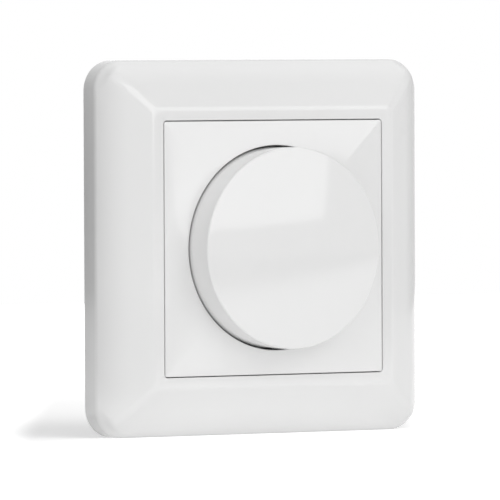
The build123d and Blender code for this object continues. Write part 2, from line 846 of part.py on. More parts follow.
# Spring strap across both transistors, hooked through the support plate at its ends
strap_front_depth = insulator_thickness + transistor_thickness
strap_outside = strap_inside + strap_thickness
lip_back = support_thickness + strap_clear
half_strap = [
    (strap_inside, -strap_front_depth),
    (strap_inside, lip_back + strap_thickness),
    (strap_outside + strap_lip, lip_back + strap_thickness),
    (strap_outside + strap_lip, lip_back),
    (strap_outside, lip_back),
    (strap_outside, -strap_front_depth - strap_thickness),
]
with BuildPart() as transistor_strap:
    with BuildSketch(SECTION.offset(-transistor_middle)):
        with BuildLine():
            Polyline(*half_strap, *[(-across, height) for across, height in reversed(half_strap)], close=True)
        make_face()
    extrude(amount=strap_width / 2, both=True)
save(transistor_strap, "transistor_strap")

# Choke: square bobbin core standing on the board, and its winding
with BuildPart() as choke_core:
    for height, width, depth in (
        (choke_flange, choke_width, board_front_depth),
        (choke_height, choke_core_width, board_front_depth),
        (choke_flange, choke_width, board_front_depth - choke_height + choke_flange),
    ):
        with BuildSketch(front(-depth)):
            with Locations(choke_place):
                Rectangle(width, width)
        extrude(amount=height)
save(choke_core, "choke_core")

winding_width = choke_width - 2 * choke_fill
winding_hole = choke_core_width + 2 * choke_clear
with BuildPart() as choke_winding:
    with BuildSketch(front(choke_flange + choke_clear - board_front_depth)):
        with Locations(choke_place):
            turns = Rectangle(winding_width, winding_width)
            chamfer(turns.vertices(), choke_corner)
            Rectangle(winding_hole, winding_hole, mode=Mode.SUBTRACT)
    extrude(amount=choke_height - 2 * choke_flange - 2 * choke_clear)
save(choke_winding, "choke_winding")

with BuildPart() as film_capacitor:
    with BuildSketch(front(-board_front_depth)):
        with Locations(film_place):
            Rectangle(film_width, film_length)
    extrude(amount=film_height)
    chamfer(film_capacitor.faces().sort_by(Axis.Y)[0].edges(), film_round)
save(film_capacitor, "film_capacitor")

# Varistor: disc on two leads
with BuildPart() as varistor:
    with BuildSketch(Plane.YZ.offset(varistor_place[0])):
        with Locations((varistor_middle, varistor_place[1])):
            Circle(varistor_radius)
    extrude(amount=varistor_thickness / 2, both=True)
    with BuildSketch(front(-board_front_depth)):
        with Locations(varistor_place):
            with GridLocations(0, varistor_lead_pitch, 1, 2):
                Rectangle(lead_size, lead_size)
    extrude(amount=varistor_lift + varistor_radius)
save(varistor, "varistor")

with BuildPart() as fuse:
    with BuildSketch(front(-board_front_depth)):
        with Locations(fuse_place):
            Rectangle(fuse_width, fuse_depth)
    extrude(amount=fuse_height)
save(fuse, "fuse")

with BuildPart() as bulk_capacitor:
    with BuildSketch(front(-board_front_depth)):
        with Locations(bulk_place):
            Circle(bulk_radius)
    extrude(amount=bulk_height)
save(bulk_capacitor, "bulk_capacitor")

with BuildPart() as controller_chip:
    with BuildSketch(front(-board_back_depth)):
        with Locations(chip_place):
            Rectangle(*chip_size)
    extrude(amount=-chip_thickness)
    with BuildSketch(front(-board_back_depth)):
        with Locations(chip_place):
            with GridLocations(chip_lead_pitch, 0, chip_leads, 1):
                Rectangle(chip_lead, chip_size[1] + 2 * chip_lead_reach)
    extrude(amount=-chip_lead)
save(controller_chip, "controller_chip")

# Terminals: block with a chamber for each pole, open at the back, a clamp in each chamber and its screw
chamber_middle = (chamber_front + block_back_depth) / 2
with BuildPart() as terminal_block:
    with BuildSketch(front(-board_back_depth)):
        with Locations((0, (block_bottom + block_top) / 2)):
            Rectangle(poles * pole_pitch, block_length)
    extrude(amount=board_back_depth - block_back_depth)
    with BuildSketch(Plane.XY.offset(block_bottom)):
        with Locations(*[(column, chamber_middle) for column in pole_columns]):
            Rectangle(chamber_width, chamber_height)
    extrude(amount=chamber_length, mode=Mode.SUBTRACT)
save(terminal_block, "terminal_block")

with BuildPart() as terminal_clamps:
    with BuildSketch(Plane.XY.offset(clamp_top - clamp_length)):
        with Locations(*[(column, chamber_middle) for column in pole_columns]):
            Rectangle(clamp_width, chamber_height - 2 * clamp_clear)
        with Locations(*[(column, window_middle) for column in pole_columns]):
            Rectangle(clamp_inside, window_back - window_front, mode=Mode.SUBTRACT)
    extrude(amount=clamp_length)
    with BuildSketch(front(-clamp_back)):
        with Locations(*[(column, clamp_middle) for column in pole_columns]):
            Circle(terminal_screw_radius + thread_gap)
    extrude(amount=clamp_roof, mode=Mode.SUBTRACT)
save(terminal_clamps, "terminal_clamps")

with BuildPart() as terminal_screws:
    with BuildSketch(front(-clamp_back - terminal_screw_stand)):
        with Locations(*[(column, clamp_middle) for column in pole_columns]):
            Circle(terminal_screw_radius)
    extrude(amount=terminal_screw_stand + clamp_roof + terminal_bite)
save(terminal_screws, "terminal_screws")
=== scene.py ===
import json
import math

import bmesh
import bpy
from mathutils import Matrix, Vector


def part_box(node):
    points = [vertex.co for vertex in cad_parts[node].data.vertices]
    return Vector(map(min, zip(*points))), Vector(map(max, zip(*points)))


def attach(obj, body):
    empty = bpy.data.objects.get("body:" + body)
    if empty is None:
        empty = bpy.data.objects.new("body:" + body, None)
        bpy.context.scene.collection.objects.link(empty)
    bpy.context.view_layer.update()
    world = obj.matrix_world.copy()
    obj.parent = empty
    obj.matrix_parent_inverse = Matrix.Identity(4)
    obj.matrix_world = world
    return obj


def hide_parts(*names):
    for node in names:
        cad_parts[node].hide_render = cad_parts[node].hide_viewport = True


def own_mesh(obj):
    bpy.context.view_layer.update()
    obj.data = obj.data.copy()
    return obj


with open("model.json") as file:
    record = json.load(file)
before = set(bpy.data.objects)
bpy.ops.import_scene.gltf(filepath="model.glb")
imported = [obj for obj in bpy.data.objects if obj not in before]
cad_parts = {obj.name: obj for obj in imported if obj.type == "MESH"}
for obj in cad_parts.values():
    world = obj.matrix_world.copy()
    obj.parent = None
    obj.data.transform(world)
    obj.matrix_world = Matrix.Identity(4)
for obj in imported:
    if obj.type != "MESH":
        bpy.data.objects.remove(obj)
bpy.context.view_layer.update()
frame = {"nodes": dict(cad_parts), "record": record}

# Rotary dimmer switch. The wall is the plane Y = 0 and the front faces -Y.
# The object's sizes are in mm, and heights count forward from the wall.
MM = 0.001
UP = Vector((0, 0, 1))
INTO_WALL = Vector((0, 1, 0))
RIGHT_ANGLE = math.pi / 2
SIDES = 4


def node_box(node):
    """Half width, back height and front height of a node, in mm."""
    low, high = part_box(node)
    return high.x / MM, -high.y / MM, -low.y / MM


# Main sizes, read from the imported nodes
half_frame, frame_back, ledge_height = node_box("frame")
half_plate, floor_back, rim_height = node_box("centre_plate")
knob_radius, skirt_back, crown_height = node_box("knob")

# Cover frame
wall_corner = 6.5
mitre_ball = 3.4
corner_blend = 2.6
shoulder_height = 4.8
shoulder_radius = 2.0
curve_run = 5.5
flank_slope = math.radians(26)
ledge_width = 2.53
ridge_radius = 2.4
opening_gap = 0.22
opening_corner = 0.8
shelf_height = 8.5
shelf_width = 2.2
shelf_thickness = 1.6
collar_back = 1.4
collar_wall = 2.35
collar_corner = 1.5
frame_wall = 2.5
flank_wall = 2.2
eased_edge = 0.18

# Ribs of frame and knob, which run a little into the walls that they join
rib_thickness = 1.2
rib_sunk = 0.3
frame_rib_offset = 14.0
frame_rib_back = 2.2
knob_ribs = 4
knob_rib_drop = 4.5

# Centre plate; its sloped front begins at edge_turn on the rounded edge and ends at rim_turn on the rim
plate_corner = 0.5
plate_edge = 0.2
edge_turn = math.radians(80)
rim_edge = 0.2
rim_turn = math.radians(82)
corner_sweep = math.radians(3)
well_radius = 22.1
well_wall = 1.5
floor_front = 6.0
plate_wall = 1.8
plate_roof = 1.5
neck_hole = 5.1

# Knob
face_height = 20.2
face_edge = 0.4
skirt_wall = 1.8
roof_back = 18.0
inside_round = 0.6
hub_radius = 5.4
hub_back = 10.9
socket_radius = 3.05
socket_flat = 2.0
socket_end = 17.4

# Contact blade, terminal screws and choke
blade_thickness = 0.25
blade_foot = 1.2
blade_ease = 0.05
screw_count = 3
screw_ease = 0.2
thread_pitch = 0.5
thread_depth = 0.15
screw_slot_width = 0.45
screw_slot_depth = 0.6
winding_turns = 9
winding_corner = 2.0

# Width of the eased edges on the nodes that are shown as they were imported
eased_nodes = {
    "housing": 0.3,
    "support_plate": 0.15,
    "terminal_block": 0.2,
    "transistor_strap": 0.12,
    "switch_case": 0.2,
    "pot_case": 0.2,
    "film_capacitor": 0.3,
    "fuse": 0.4,
    "transistor_left": 0.15,
    "transistor_right": 0.15,
    "controller_chip": 0.12,
}

# Smoothness of rings, arcs and edges
SIDE_STEPS = 24
CORNER_STEPS = 12
ROUND_STEPS = 128
SHOULDER_STEPS = 10
FLANK_STEPS = 12
RIDGE_STEPS = 6
EASE_STEPS = 3
PLATE_EDGE_STEPS = 4
RULED_STEPS = 14
RIM_STEPS = 5
DOME_STEPS = 16
FACE_EDGE_STEPS = 6
INSIDE_STEPS = 4
ARCH_STEPS = 24
SCREW_STEPS = 32
WIRE_STEPS = 8
EASE_SEGMENTS = 2
WELD_REACH = 0.001
CREASE = math.radians(40)


def place(across, height, up):
    """Point in the shared frame, in metres, from a place in front of the wall in mm."""
    return Vector((across, -height, up)) * MM


def arc(centre, radius, start, end, steps):
    """Points of an arc, both ends included."""
    turns = [start + (end - start) * step / steps for step in range(steps + 1)]
    return [(centre[0] + radius * math.cos(turn), centre[1] + radius * math.sin(turn)) for turn in turns]


def circle(radius, steps):
    """Evenly spaced points of a circle."""
    return arc((0, 0), radius, 0, 2 * math.pi, steps)[:-1]


def quarter_turns(across, up):
    """The same place on the four sides, one quarter turn after the other."""
    return [(across, up), (-up, across), (-across, -up), (up, -across)]


def around(first_quarter, height):
    """Ring of points from the places of its first quarter."""
    turned = [quarter_turns(across, up) for across, up in first_quarter]
    places = [turns[quarter] for quarter in range(SIDES) for turns in turned]
    return [place(across, height, up) for across, up in places]


def square_ring(half, corner, height):
    """Rounded square about the knob's axis."""
    straight = half - corner
    side = [(half, straight * (2 * step / SIDE_STEPS - 1)) for step in range(SIDE_STEPS)]
    bend = arc((straight, straight), corner, 0, RIGHT_ANGLE, CORNER_STEPS)[:-1]
    return around(side + bend, height)


def matched_circle(radius, height):
    """Circle whose points line up with those of a rounded square."""
    half_side = (RIGHT_ANGLE - corner_sweep) / 2
    side = arc((0, 0), radius, -half_side, half_side, SIDE_STEPS)[:-1]
    bend = arc((0, 0), radius, half_side, half_side + corner_sweep, CORNER_STEPS)[:-1]
    return around(side + bend, height)


def even_circle(radius, height, flat=None, steps=ROUND_STEPS):
    """Circle of evenly spaced points, cut off at a flat on its right where one is given."""
    limit = radius if flat is None else flat
    return [place(min(across, limit), height, up) for across, up in circle(radius, steps)]


def between(first, last, share):
    """Ring a share of the way along the straight lines between two rings."""
    return [start.lerp(end, share) for start, end in zip(first, last)]


def sweep(path, side, outline):
    """Rings of an outline carried along a path, its first axis kept close to a side direction."""
    rings = [[path[0]]]
    for here, point in enumerate(path):
        ahead = (path[min(here + 1, len(path) - 1)] - path[max(here - 1, 0)]).normalized()
        level = (side - ahead * side.dot(ahead)).normalized()
        normal = ahead.cross(level)
        rings.append([point + (level * across + normal * above) * MM for across, above in outline])
    return rings + [[path[-1]]]


def add_skin(shape, rings, closed=False):
    """Adds the surface through rings in order to a mesh; a ring of one point is a pole."""
    made = [[shape.verts.new(point) for point in ring] for ring in rings]
    pairs = list(zip(made, made[1:]))
    if closed:
        pairs.append((made[-1], made[0]))
    for first, last in pairs:
        count = max(len(first), len(last))
        for here in range(count):
            after = (here + 1) % count
            if len(first) == 1:
                shape.faces.new((first[0], last[here], last[after]))
            elif len(last) == 1:
                shape.faces.new((first[here], last[0], first[after]))
            else:
                shape.faces.new((first[here], last[here], last[after], first[after]))


def add_prism(shape, outline, offset):
    """Adds the prism between an outline and its copy at an offset to a mesh."""
    front = [shape.verts.new(point) for point in outline]
    back = [shape.verts.new(point + offset) for point in outline]
    shape.faces.new(front)
    shape.faces.new(back[::-1])
    for here in range(len(outline)):
        after = (here + 1) % len(outline)
        shape.faces.new((front[here], back[here], back[after], front[after]))


def add_ribs(shape, section, count, offset=0.0):
    """Adds ribs at even turns about the knob's axis, set aside from it by an offset."""
    low_side = offset - rib_thickness / 2
    for rib in range(count):
        turn = Matrix.Rotation(2 * math.pi * rib / count, 4, "Y")
        outline = [turn @ place(across, height, low_side) for across, height in section]
        add_prism(shape, outline, turn @ place(0, 0, rib_thickness))


def finish_mesh(shape, name):
    """Mesh with outward normals, smooth but for its creases."""
    bmesh.ops.recalc_face_normals(shape, faces=shape.faces)
    mesh = bpy.data.meshes.new(name)
    shape.to_mesh(mesh)
    shape.free()
    mesh.shade_smooth()
    mesh.set_sharp_from_angle(angle=CREASE)
    return mesh


def add_object(name, data):
    """Puts a mesh, a lamp or a camera into the scene."""
    made = bpy.data.objects.new(name, data)
    bpy.context.scene.collection.objects.link(made)
    return made


def add_piece(name, shape, body, slot, *replaced):
    """Puts a mesh into the scene as a piece that rides on a body and stands for CAD nodes."""
    piece = add_object(name, finish_mesh(shape, name))
    even = piece.modifiers.new("even_normals", "WEIGHTED_NORMAL")
    even.keep_sharp = True
    piece.data.materials.append(finishes[slot])
    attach(piece, body)
    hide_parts(*replaced)
    return piece


class Socket:
    """Shader socket that takes part in Python expressions."""

    def __init__(self, shader, socket):
        self.shader = shader
        self.socket = socket

    def maths(self, operation, *operands):
        return self.shader.node("ShaderNodeMath", {"operation": operation}, dict(enumerate(operands)))

    def __add__(self, other):
        return self.maths("ADD", self, other)

    def __radd__(self, other):
        return self.maths("ADD", other, self)

    def __sub__(self, other):
        return self.maths("SUBTRACT", self, other)

    def __rsub__(self, other):
        return self.maths("SUBTRACT", other, self)

    def __mul__(self, other):
        return self.maths("MULTIPLY", self, other)

    def __rmul__(self, other):
        return self.maths("MULTIPLY", other, self)

    def __pow__(self, other):
        return self.maths("POWER", self, other)

    def __rpow__(self, other):
        return self.maths("POWER", other, self)

    def __gt__(self, other):
        return self.maths("GREATER_THAN", self, other)

    def __abs__(self):
        return self.maths("ABSOLUTE", self)

    def at_least(self, limit):
        return self.maths("MAXIMUM", self, limit)

    def about(self, middle, swing):
        """Value that swings about a middle while this one goes from 0 to 1."""
        return self * (2 * swing) + (middle - swing)


# The colour sockets of a Mix node, which share their names with its other sockets
MIX_FIRST, MIX_SECOND, MIX_RESULT = 6, 7, 2


class Shader:
    """Node tree of a material or the world."""

    def __init__(self, tree):
        self.tree = tree
        tree.nodes.clear()

    def node(self, kind, settings=None, inputs=None, output=0):
        """Adds a node, sets it up, feeds its sockets and returns one of its outputs."""
        made = self.tree.nodes.new(kind)
        for name, value in (settings or {}).items():
            setattr(made, name, value)
        for name, value in (inputs or {}).items():
            if isinstance(value, Socket):
                self.tree.links.new(value.socket, made.inputs[name])
            else:
                made.inputs[name].default_value = value
        return Socket(self, made.outputs[output]) if made.outputs else None

    def place(self):
        """Place on the object, in metres."""
        return self.node("ShaderNodeTexCoord", output="Object")

    def noise(self, scale, detail, stretch=(1, 1, 1)):
        """Cloudy pattern from 0 to 1, drawn out along an axis where the stretch is small."""
        spot = self.node("ShaderNodeMapping", None, {"Vector": self.place(), "Scale": stretch})
        return self.node("ShaderNodeTexNoise", None, {"Vector": spot, "Scale": scale, "Detail": detail})

    def mix(self, share, first, second):
        """Colour between two colours."""
        inputs = {"Factor": share, MIX_FIRST: first, MIX_SECOND: second}
        return self.node("ShaderNodeMix", {"data_type": "RGBA"}, inputs, output=MIX_RESULT)

    def varied(self, share, base, swing):
        """Colour that goes from darker to lighter than its base."""
        return self.mix(share, shaded(base, 1 - swing), shaded(base, 1 + swing))

    def bump(self, height, strength, depth):
        """Normal of a relief with a depth in mm."""
        inputs = {"Height": height, "Strength": strength, "Distance": depth * MM}
        return self.node("ShaderNodeBump", None, inputs, output="Normal")

    def ramp(self, value, span):
        """Rises smoothly from 0 to 1 while a value crosses a span."""
        inputs = {"Value": value, "From Min": span[0], "From Max": span[1]}
        return self.node("ShaderNodeMapRange", {"interpolation_type": "SMOOTHSTEP"}, inputs)

    def along(self, vector, direction):
        """How far a vector reaches along a direction."""
        inputs = {0: vector, 1: direction}
        return self.node("ShaderNodeVectorMath", {"operation": "DOT_PRODUCT"}, inputs, output="Value")

    def rays(self):
        """Camera, glossy and transmission rays, each 1 where a ray is of that kind."""
        outputs = self.node("ShaderNodeLightPath").socket.node.outputs
        kinds = ("Is Camera Ray", "Is Glossy Ray", "Is Transmission Ray")
        return [Socket(self, outputs[kind]) for kind in kinds]


def shaded(base, factor=1.0):
    """Colour made lighter or darker by a factor."""
    return (base[0] * factor, base[1] * factor, base[2] * factor, 1)


def grey(level):
    """Colour without a hue."""
    return (level, level, level, 1)


def new_material(name):
    """Material with an empty node tree, and the shader that fills it."""
    material = bpy.data.materials.new(name)
    material.use_nodes = True
    return material, Shader(material.node_tree)


def surface(name, build):
    """Material whose principled sockets come from a builder function."""
    material, shader = new_material(name)
    bsdf = shader.node("ShaderNodeBsdfPrincipled", None, build(shader))
    shader.node("ShaderNodeOutputMaterial", None, {"Surface": bsdf})
    return material


def gloss_moulding(base, roughness):
    """High gloss moulding: faint flow marks in the colour, a trace of orange peel and uneven polish."""

    def build(shader):
        flow = shader.noise(scale=45, detail=4, stretch=(1, 1, 0.35))
        polish = shader.noise(scale=320, detail=2)
        peel = shader.noise(scale=260, detail=1)
        return {
            "Base Color": shader.varied(flow, base, swing=0.015),
            "Roughness": polish.about(roughness, swing=0.2 * roughness),
            "Normal": shader.bump(peel, strength=0.02, depth=0.2),
            "IOR": 1.55,
        }

    return build


def grained_moulding(base, roughness, scale, depth):
    """Eroded moulding: fine grain in relief, its colour darker in the hollows of the grain and lighter on
    its peaks.
    """

    def build(shader):
        grain = shader.noise(scale, detail=5)
        cloud = shader.noise(scale / 25, detail=2)
        return {
            "Base Color": shader.varied(grain, base, swing=0.2),
            "Roughness": cloud.about(roughness, swing=0.1),
            "Normal": shader.bump(grain, strength=0.35, depth=depth),
        }

    return build


def rolled_metal(base, roughness, stretch, blotch):
    """Sheet or drawn metal: fine rolling lines, and blotches in the plating."""

    def build(shader):
        lines = shader.noise(scale=900, detail=4, stretch=stretch)
        cloud = shader.noise(scale=140, detail=5)
        return {
            "Base Color": shader.varied(cloud, base, swing=blotch),
            "Metallic": 1.0,
            "Roughness": lines.about(roughness, swing=0.1) + cloud.about(0, swing=0.12),
            "Normal": shader.bump(lines, strength=0.12, depth=0.04),
        }

    return build


def layered_board(base, depth):
    """Pressed paper and resin: layers in relief across the thickness, with flecks."""

    def build(shader):
        fleck = shader.noise(scale=1400, detail=3)
        sheets = shader.noise(scale=700, detail=2, stretch=(0.2, 6, 0.2))
        return {
            "Base Color": shader.varied(sheets * 0.6 + fleck * 0.4, base, swing=0.3),
            "Roughness": fleck.about(0.48, swing=0.1),
            "Normal": shader.bump(sheets, strength=0.2, depth=depth),
        }

    return build


def resist_board(base, track):
    """Solder resist over tracks, which stand out a little and show lighter."""

    def build(shader):
        cells = shader.node(
            "ShaderNodeTexVoronoi",
            {"feature": "DISTANCE_TO_EDGE", "distance": "EUCLIDEAN"},
            {"Vector": shader.place(), "Scale": 260.0},
        )
        gap_share = 0.12
        copper = cells > gap_share
        weave = shader.noise(scale=2200, detail=2)
        return {
            "Base Color": shader.mix(copper, shaded(base), shaded(track)),
            "Roughness": weave.about(0.325, swing=0.075),
            "Normal": shader.bump(copper, strength=0.25, depth=0.05),
        }

    return build


def dipped_coat(base):
    """Coating dipped round a component: pooled gloss over slow waves."""

    def build(shader):
        waves = shader.noise(scale=190, detail=2)
        spots = shader.noise(scale=1500, detail=3)
        return {
            "Base Color": shader.varied(waves, base, swing=0.15),
            "Roughness": spots.about(0.24, swing=0.06),
            "Normal": shader.bump(waves, strength=0.3, depth=0.2),
            "Coat Weight": 0.4,
        }

    return build


def wound_wire(base):
    """Enamelled wire: the turns in relief, duller between them, with painted shade between the turns and
    painted light along their crests.
    """

    def build(shader):
        turns = shader.node(
            "ShaderNodeTexWave",
            {"wave_type": "BANDS", "bands_direction": "Y", "wave_profile": "SIN"},
            {"Vector": shader.place(), "Scale": 520.0, "Distortion": 0.6},
            output="Fac",
        )
        # Painted shade: the wire's colour darkens between the turns, and painted light lifts it on their
        # crests
        shade_between_turns, crest = 0.45, 1.1
        return {
            "Base Color": shader.mix(turns, shaded(base, shade_between_turns), shaded(base, crest)),
            "Metallic": 0.9,
            "Roughness": (1 - turns).about(0.4, swing=0.1),
            "Normal": shader.bump(turns, strength=0.6, depth=0.3),
        }

    return build


# Finish of each material slot; rolling lines run along one axis
ALONG_X, ALONG_Y, ALONG_Z = (0.05, 1, 1), (1, 0.05, 1), (1, 1, 0.05)
looks = {
    "polar_white": gloss_moulding((0.88, 0.88, 0.878), roughness=0.06),
    "housing_grey": grained_moulding((0.13, 0.135, 0.14), roughness=0.55, scale=2600, depth=0.06),
    "zinc_steel": rolled_metal((0.64, 0.655, 0.68), roughness=0.4, stretch=ALONG_Z, blotch=0.2),
    "spring_steel": rolled_metal((0.45, 0.45, 0.46), roughness=0.3, stretch=ALONG_X, blotch=0.04),
    "bright_brass": rolled_metal((0.78, 0.62, 0.30), roughness=0.28, stretch=ALONG_Y, blotch=0.05),
    "spring_bronze": rolled_metal((0.70, 0.48, 0.28), roughness=0.3, stretch=ALONG_X, blotch=0.05),
    "acetal_white": grained_moulding((0.80, 0.79, 0.76), roughness=0.42, scale=1200, depth=0.02),
    "case_brown": layered_board((0.26, 0.15, 0.08), depth=0.05),
    "switch_black": grained_moulding((0.03, 0.03, 0.03), roughness=0.5, scale=2000, depth=0.05),
    "board_green": resist_board((0.03, 0.16, 0.08), track=(0.06, 0.27, 0.14)),
    "package_black": grained_moulding((0.04, 0.04, 0.045), roughness=0.6, scale=3000, depth=0.04),
    "pad_grey": grained_moulding((0.55, 0.56, 0.60), roughness=0.8, scale=1500, depth=0.05),
    "ferrite": grained_moulding((0.11, 0.11, 0.12), roughness=0.5, scale=3500, depth=0.08),
    "copper_wire": wound_wire((0.66, 0.32, 0.14)),
    "film_yellow": gloss_moulding((0.74, 0.57, 0.10), roughness=0.3),
    "varistor_blue": dipped_coat((0.05, 0.19, 0.46)),
    "can_aluminium": rolled_metal((0.72, 0.73, 0.75), roughness=0.3, stretch=ALONG_Y, blotch=0.03),
}
finishes = {slot: surface(slot, build) for slot, build in looks.items()}

for subpart in frame["record"]["subparts"]:
    node = frame["nodes"][subpart["node"]]
    node.data.materials.clear()
    node.data.materials.append(finishes[subpart["material_slot"]])


# Cover frame in section: the straight slope bends at its foot into a curve that ends at the shoulder
half_opening = half_plate + opening_gap
half_ledge = half_opening + ledge_width
bend_across = half_frame - curve_run
bend = Vector((bend_across, ledge_height - (bend_across - half_ledge) * math.tan(flank_slope)))
flank_normal = Vector((math.sin(flank_slope), math.cos(flank_slope)))
curve_chord = Vector((half_frame, shoulder_height)) - bend
flank_radius = -curve_chord.length_squared / (2 * curve_chord.dot(flank_normal))
flank_centre = bend - flank_normal * flank_radius


def mitre_corner(steepness):
    """Corner radius, seen from the front, that a ball rolled along the mitre leaves at a steepness."""
    steep = max(steepness, flank_slope)
    turn = math.acos(math.cos(steep) ** 2)
    return math.sqrt(2) * mitre_ball * math.sin(turn / 2)


def outside_corner(half, steepness):
    """Corner radius of the frame's outside, which widens to the wall's own near the shoulder."""
    share = max(0.0, 1 - (half_frame - half) / corner_blend)
    eased = share * share * (3 - 2 * share)
    return mitre_corner(steepness) * (1 - eased) + wall_corner * eased


def frame_outside():
    """Rings from the wall over the shoulder, the flank and the ridge to the ledge."""
    shoulder_across = half_frame - shoulder_radius
    inner_radius = flank_radius - shoulder_radius
    shoulder_up = flank_centre.y + math.sqrt(inner_radius**2 - (shoulder_across - flank_centre.x) ** 2)
    shoulder_end = math.atan2(shoulder_up - flank_centre.y, shoulder_across - flank_centre.x)
    ridge_reach = ridge_radius * math.tan(flank_slope / 2)
    ridge_centre = (half_ledge - ridge_reach, ledge_height - ridge_radius)
    slope_turn = RIGHT_ANGLE - flank_slope
    section = arc((shoulder_across, shoulder_up), shoulder_radius, 0, shoulder_end, SHOULDER_STEPS)
    section += arc(flank_centre, flank_radius, shoulder_end, slope_turn, FLANK_STEPS)[1:]
    section += arc(ridge_centre, ridge_radius, slope_turn, RIGHT_ANGLE, RIDGE_STEPS)
    rings = [square_ring(half_frame, wall_corner, eased_edge)]
    for here, after in zip(section, section[1:] + [(half_opening, ledge_height)]):
        steepness = math.atan2(after[1] - here[1], here[0] - after[0])
        rings.append(square_ring(here[0], outside_corner(here[0], steepness), here[1]))
    return rings


def frame_inside():
    """Rings from the ledge down the opening, round the shelf and collar and out behind the flank."""
    drop = flank_normal * flank_wall
    hollow_bend = bend - drop
    half_hollow = half_frame - frame_wall
    edge_centre = (half_opening + eased_edge, ledge_height - eased_edge)
    edge = arc(edge_centre, eased_edge, RIGHT_ANGLE, math.pi, EASE_STEPS)
    rings = [square_ring(half, opening_corner, height) for half, height in edge]
    for half, height, corner in (
        (half_opening, shelf_height, opening_corner),
        (half_opening - shelf_width, shelf_height, opening_corner),
        (half_opening - shelf_width, shelf_height - shelf_thickness, opening_corner),
        (half_opening, shelf_height - shelf_thickness, opening_corner),
        (half_opening, collar_back, opening_corner),
        (half_opening + collar_wall, collar_back, collar_corner),
        (half_opening + collar_wall, ledge_height - flank_wall, collar_corner),
        (hollow_bend.x, hollow_bend.y, collar_corner),
        (half_hollow, shoulder_height - drop.y, wall_corner - frame_wall),
        (half_hollow, frame_back, wall_corner - frame_wall),
        (half_frame - eased_edge, frame_back, wall_corner - eased_edge),
    ):
        rings.append(square_ring(half, corner, height))
    return rings


def cover_frame():
    """Square frame whose four profiles cross in mitres, with two ribs behind each side."""
    shape = bmesh.new()
    add_skin(shape, frame_outside() + frame_inside(), closed=True)
    inner = half_opening + collar_wall - rib_sunk
    outer = half_frame - frame_wall + rib_sunk
    inner_roof = ledge_height - flank_wall + rib_sunk
    outer_roof = shoulder_height - flank_wall * math.cos(flank_slope) + rib_sunk
    section = [(inner, frame_rib_back), (outer, frame_rib_back), (outer, outer_roof), (inner, inner_roof)]
    for offset in (-frame_rib_offset, frame_rib_offset):
        add_ribs(shape, section, SIDES, offset)
    add_piece("cover_frame", shape, "base", "polar_white", "frame")


def dial_plate():
    """Plate whose front runs from its straight edges out into the round rim of the knob's well."""
    edge_centre = (half_plate - plate_edge, ledge_height - plate_edge)
    edge = arc(edge_centre, plate_edge, 0, edge_turn, PLATE_EDGE_STEPS)
    rim_centre = (well_radius + rim_edge, rim_height - rim_edge)
    rim = arc(rim_centre, rim_edge, rim_turn, math.pi, RIM_STEPS)
    rim_rings = [matched_circle(radius, height) for radius, height in rim]
    rings = [square_ring(half_plate, plate_corner, shelf_height)]
    rings += [square_ring(half, plate_corner + half - half_plate, height) for half, height in edge]
    rings += [between(rings[-1], rim_rings[0], step / RULED_STEPS) for step in range(1, RULED_STEPS)]
    rings += rim_rings
    roof = ledge_height - plate_roof
    half_pocket = half_plate - plate_wall
    for radius, height in (
        (well_radius, floor_front + rim_edge),
        (well_radius - rim_edge, floor_front),
        (neck_hole, floor_front),
        (neck_hole, floor_back),
        (well_radius + well_wall - rim_edge, floor_back),
        (well_radius + well_wall, floor_back + rim_edge),
        (well_radius + well_wall, roof),
    ):
        rings.append(matched_circle(radius, height))
    rings.append(square_ring(half_pocket, plate_corner, roof))
    rings.append(square_ring(half_pocket, plate_corner, shelf_height))
    shape = bmesh.new()
    add_skin(shape, rings, closed=True)
    add_piece("dial_plate", shape, "base", "polar_white", "centre_plate")


def knob_section(skirt_inside):
    """Section of the knob from its crown over the face and round the skirt to the hub's back end."""
    dome_rise = crown_height - face_height
    dome_radius = (knob_radius**2 + dome_rise**2) / (2 * dome_rise)
    dome_end = math.acos((knob_radius - face_edge) / dome_radius)
    section = arc((0, crown_height - dome_radius), dome_radius, RIGHT_ANGLE, dome_end, DOME_STEPS)[1:]
    face_edge_centre = (knob_radius - face_edge, section[-1][1] - face_edge)
    section += arc(face_edge_centre, face_edge, dome_end, 0, FACE_EDGE_STEPS)[1:]
    back_edge_centre = (knob_radius - eased_edge, skirt_back + eased_edge)
    section += arc(back_edge_centre, eased_edge, 0, -RIGHT_ANGLE, EASE_STEPS)
    section.append((skirt_inside, skirt_back))
    roof_round_centre = (skirt_inside - inside_round, roof_back - inside_round)
    section += arc(roof_round_centre, inside_round, 0, RIGHT_ANGLE, INSIDE_STEPS)
    section.append((hub_radius + inside_round, roof_back))
    section.append((hub_radius, roof_back - inside_round))
    section.append((hub_radius, hub_back))
    return section


def turning_knob():
    """Cap with a domed face, a skirt, ribs and a flatted socket for the shaft."""
    skirt_inside = knob_radius - skirt_wall
    rings = [[place(0, crown_height, 0)]]
    rings += [even_circle(radius, height) for radius, height in knob_section(skirt_inside)]
    rings += [even_circle(socket_radius, height, socket_flat) for height in (hub_back, socket_end)]
    rings.append([place(0, socket_end, 0)])
    shape = bmesh.new()
    add_skin(shape, rings)
    inner, outer = hub_radius - rib_sunk, skirt_inside + rib_sunk
    back, top = roof_back - knob_rib_drop, roof_back + rib_sunk
    add_ribs(shape, [(inner, back), (outer, back), (outer, top), (inner, top)], knob_ribs)
    add_piece("turning_knob", shape, "dial", "polar_white", "knob")


